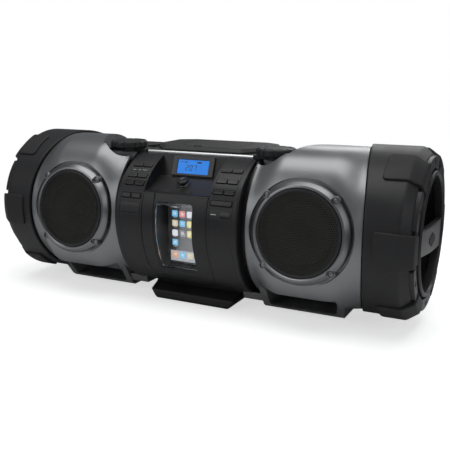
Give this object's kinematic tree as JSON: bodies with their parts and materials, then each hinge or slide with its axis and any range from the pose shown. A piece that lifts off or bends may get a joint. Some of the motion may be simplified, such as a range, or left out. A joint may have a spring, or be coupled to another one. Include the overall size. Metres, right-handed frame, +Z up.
{
  "type": "portable stereo",
  "caption": "Tube-shaped portable stereo with end woofers, front speakers, a dock door, button strips, top knobs and a top disc lid.",
  "frame": {"origin": "middle of the bounding box, on the table that the feet stand on", "axes": "+X to the right along the tube (seen from the front), -Y towards the listener, +Z up"},
  "size_m": [0.658, 0.2436, 0.2404],
  "materials": {
    "silver": "satin metallic silver",
    "black": "satin black",
    "soft_black": "soft-touch black",
    "rubber": "matt black rubber",
    "deck_grey": "dark grey satin",
    "frame_grey": "mid-grey satin",
    "bright": "bright silver",
    "mesh": "dark perforated metal",
    "cone": "matt dark cone",
    "steel": "plain steel",
    "display": "blue backlit display in a dark frame",
    "glass": "clear tinted",
    "button": "satin black",
    "device": "silver and black glass",
    "board": "green board"
  },
  "bodies": {
    "cabinet": {"left_shell": "silver", "right_shell": "silver", "control_housing": "black", "top_deck": "deck_grey", "trim_strip": "bright", "left_foot_frame": "frame_grey", "right_foot_frame": "frame_grey", "centre_foot": "soft_black", "left_foot_pad": "rubber", "right_foot_pad": "rubber", "left_end_drum": "soft_black", "right_end_drum": "soft_black", "left_bumper": "rubber", "right_bumper": "rubber", "left_end_ring": "soft_black", "right_end_ring": "soft_black", "left_badge_bar": "black", "right_badge_bar": "black", "left_woofer_motor": "steel", "right_woofer_motor": "steel", "left_bezel": "bright", "right_bezel": "bright", "left_grille": "mesh", "right_grille": "mesh", "left_driver_motor": "steel", "right_driver_motor": "steel", "display_panel": "display", "jack_panel": "frame_grey", "main_board": "board"},
    "dock_door": {"dock_door": "black", "door_window": "glass", "dock_cradle": "black", "pocket_player": "device"},
    "volume_knob": {"volume_knob": "soft_black"},
    "sound_knob": {"sound_knob": "soft_black"},
    "disc_lid": {"disc_lid": "deck_grey"},
    "lid_button": {"lid_button": "button"},
    "disc_spindle": {"disc_spindle": "black"},
    "joystick_ring": {"joystick_ring": "steel"},
    "joystick": {"joystick": "button"},
    "battery_door": {"battery_door": "soft_black"},
    "left_woofer_cone": {"left_woofer_cone": "cone"},
    "right_woofer_cone": {"right_woofer_cone": "cone"},
    "left_driver_cone": {"left_driver_cone": "cone"},
    "right_driver_cone": {"right_driver_cone": "cone"},
    "button_left_1a": {"button_left_1a": "button"},
    "button_left_1b": {"button_left_1b": "button"},
    "button_left_2a": {"button_left_2a": "button"},
    "button_left_2b": {"button_left_2b": "button"},
    "button_left_3a": {"button_left_3a": "button"},
    "button_left_3b": {"button_left_3b": "button"},
    "button_left_4a": {"button_left_4a": "button"},
    "button_left_4b": {"button_left_4b": "button"},
    "button_right_1a": {"button_right_1a": "button"},
    "button_right_1b": {"button_right_1b": "button"},
    "button_right_2a": {"button_right_2a": "button"},
    "button_right_2b": {"button_right_2b": "button"},
    "button_right_3a": {"button_right_3a": "button"},
    "button_right_3b": {"button_right_3b": "button"},
    "button_bar": {"button_bar": "button"}
  },
  "joints": [
    {"name": "dock_door_hinge", "type": "hinge", "parent": "cabinet", "child": "dock_door", "pos_m": [0, -0.08974, 0.0484], "axis": [1, 0, 0], "range_deg": [0, 80]},
    {"name": "volume_turn", "type": "hinge", "parent": "cabinet", "child": "volume_knob", "pos_m": [0.121, -0.04124, 0.2248], "axis": [0, 0, 1], "continuous": true},
    {"name": "sound_turn", "type": "hinge", "parent": "cabinet", "child": "sound_knob", "pos_m": [-0.121, -0.04124, 0.2248], "axis": [0, 0, 1], "range_deg": [-140, 140]},
    {"name": "disc_lid_hinge", "type": "hinge", "parent": "cabinet", "child": "disc_lid", "pos_m": [0, 0.09276, 0.22235], "axis": [-1, 0, 0], "range_deg": [0, 72]},
    {"name": "lid_button_press", "type": "slide", "parent": "disc_lid", "child": "lid_button", "axis": [0, 0, -1], "range_m": [0, 0.001], "stiffness_N_per_m": 300},
    {"name": "disc_spindle_spin", "type": "hinge", "parent": "cabinet", "child": "disc_spindle", "pos_m": [0, 0.02676, 0.208], "axis": [0, 0, 1], "continuous": true},
    {"name": "battery_door_pull", "type": "slide", "parent": "cabinet", "child": "battery_door", "axis": [0, 1, 0], "range_m": [0, 0.03]},
    {"name": "joystick_nod", "type": "hinge", "parent": "cabinet", "child": "joystick_ring", "pos_m": [-0.002, -0.08305, 0.18154], "axis": [1, 0, 0], "range_deg": [-5, 5], "stiffness_Nm_per_rad": 0.02},
    {"name": "joystick_sway", "type": "hinge", "parent": "joystick_ring", "child": "joystick", "pos_m": [-0.002, -0.08305, 0.18154], "axis": [0, 0.9216, 0.3881], "range_deg": [-5, 5], "stiffness_Nm_per_rad": 0.02},
    {"name": "left_woofer_stroke", "type": "slide", "parent": "cabinet", "child": "left_woofer_cone", "axis": [-1, 0, 0], "range_m": [-0.003, 0.003], "stiffness_N_per_m": 2500},
    {"name": "left_driver_stroke", "type": "slide", "parent": "cabinet", "child": "left_driver_cone", "axis": [0, -0.9943, 0.1063], "range_m": [-0.0015, 0.0015], "stiffness_N_per_m": 2500},
    {"name": "right_woofer_stroke", "type": "slide", "parent": "cabinet", "child": "right_woofer_cone", "axis": [1, 0, 0], "range_m": [-0.003, 0.003], "stiffness_N_per_m": 2500},
    {"name": "right_driver_stroke", "type": "slide", "parent": "cabinet", "child": "right_driver_cone", "axis": [0, -0.9943, 0.1063], "range_m": [-0.0015, 0.0015], "stiffness_N_per_m": 2500},
    {"name": "button_left_1a_press", "type": "slide", "parent": "cabinet", "child": "button_left_1a", "axis": [0, 0.5507, -0.8347], "range_m": [0, 0.0012], "stiffness_N_per_m": 400},
    {"name": "button_left_1b_press", "type": "slide", "parent": "cabinet", "child": "button_left_1b", "axis": [0, 0.5507, -0.8347], "range_m": [0, 0.0012], "stiffness_N_per_m": 400},
    {"name": "button_left_2a_press", "type": "slide", "parent": "cabinet", "child": "button_left_2a", "axis": [0, 0.6752, -0.7376], "range_m": [0, 0.0012], "stiffness_N_per_m": 400},
    {"name": "button_left_2b_press", "type": "slide", "parent": "cabinet", "child": "button_left_2b", "axis": [0, 0.6752, -0.7376], "range_m": [0, 0.0012], "stiffness_N_per_m": 400},
    {"name": "button_left_3a_press", "type": "slide", "parent": "cabinet", "child": "button_left_3a", "axis": [0, 0.8496, -0.5274], "range_m": [0, 0.0012], "stiffness_N_per_m": 400},
    {"name": "button_left_3b_press", "type": "slide", "parent": "cabinet", "child": "button_left_3b", "axis": [0, 0.8496, -0.5274], "range_m": [0, 0.0012], "stiffness_N_per_m": 400},
    {"name": "button_left_4a_press", "type": "slide", "parent": "cabinet", "child": "button_left_4a", "axis": [0, 0.9526, -0.3041], "range_m": [0, 0.0012], "stiffness_N_per_m": 400},
    {"name": "button_left_4b_press", "type": "slide", "parent": "cabinet", "child": "button_left_4b", "axis": [0, 0.9526, -0.3041], "range_m": [0, 0.0012], "stiffness_N_per_m": 400},
    {"name": "button_right_1a_press", "type": "slide", "parent": "cabinet", "child": "button_right_1a", "axis": [0, 0.5507, -0.8347], "range_m": [0, 0.0012], "stiffness_N_per_m": 400},
    {"name": "button_right_1b_press", "type": "slide", "parent": "cabinet", "child": "button_right_1b", "axis": [0, 0.5507, -0.8347], "range_m": [0, 0.0012], "stiffness_N_per_m": 400},
    {"name": "button_right_2a_press", "type": "slide", "parent": "cabinet", "child": "button_right_2a", "axis": [0, 0.6752, -0.7376], "range_m": [0, 0.0012], "stiffness_N_per_m": 400},
    {"name": "button_right_2b_press", "type": "slide", "parent": "cabinet", "child": "button_right_2b", "axis": [0, 0.6752, -0.7376], "range_m": [0, 0.0012], "stiffness_N_per_m": 400},
    {"name": "button_right_3a_press", "type": "slide", "parent": "cabinet", "child": "button_right_3a", "axis": [0, 0.8496, -0.5274], "range_m": [0, 0.0012], "stiffness_N_per_m": 400},
    {"name": "button_right_3b_press", "type": "slide", "parent": "cabinet", "child": "button_right_3b", "axis": [0, 0.8496, -0.5274], "range_m": [0, 0.0012], "stiffness_N_per_m": 400},
    {"name": "button_bar_press", "type": "slide", "parent": "cabinet", "child": "button_bar", "axis": [0, 0.9526, -0.3041], "range_m": [0, 0.0012], "stiffness_N_per_m": 400}
  ]
}
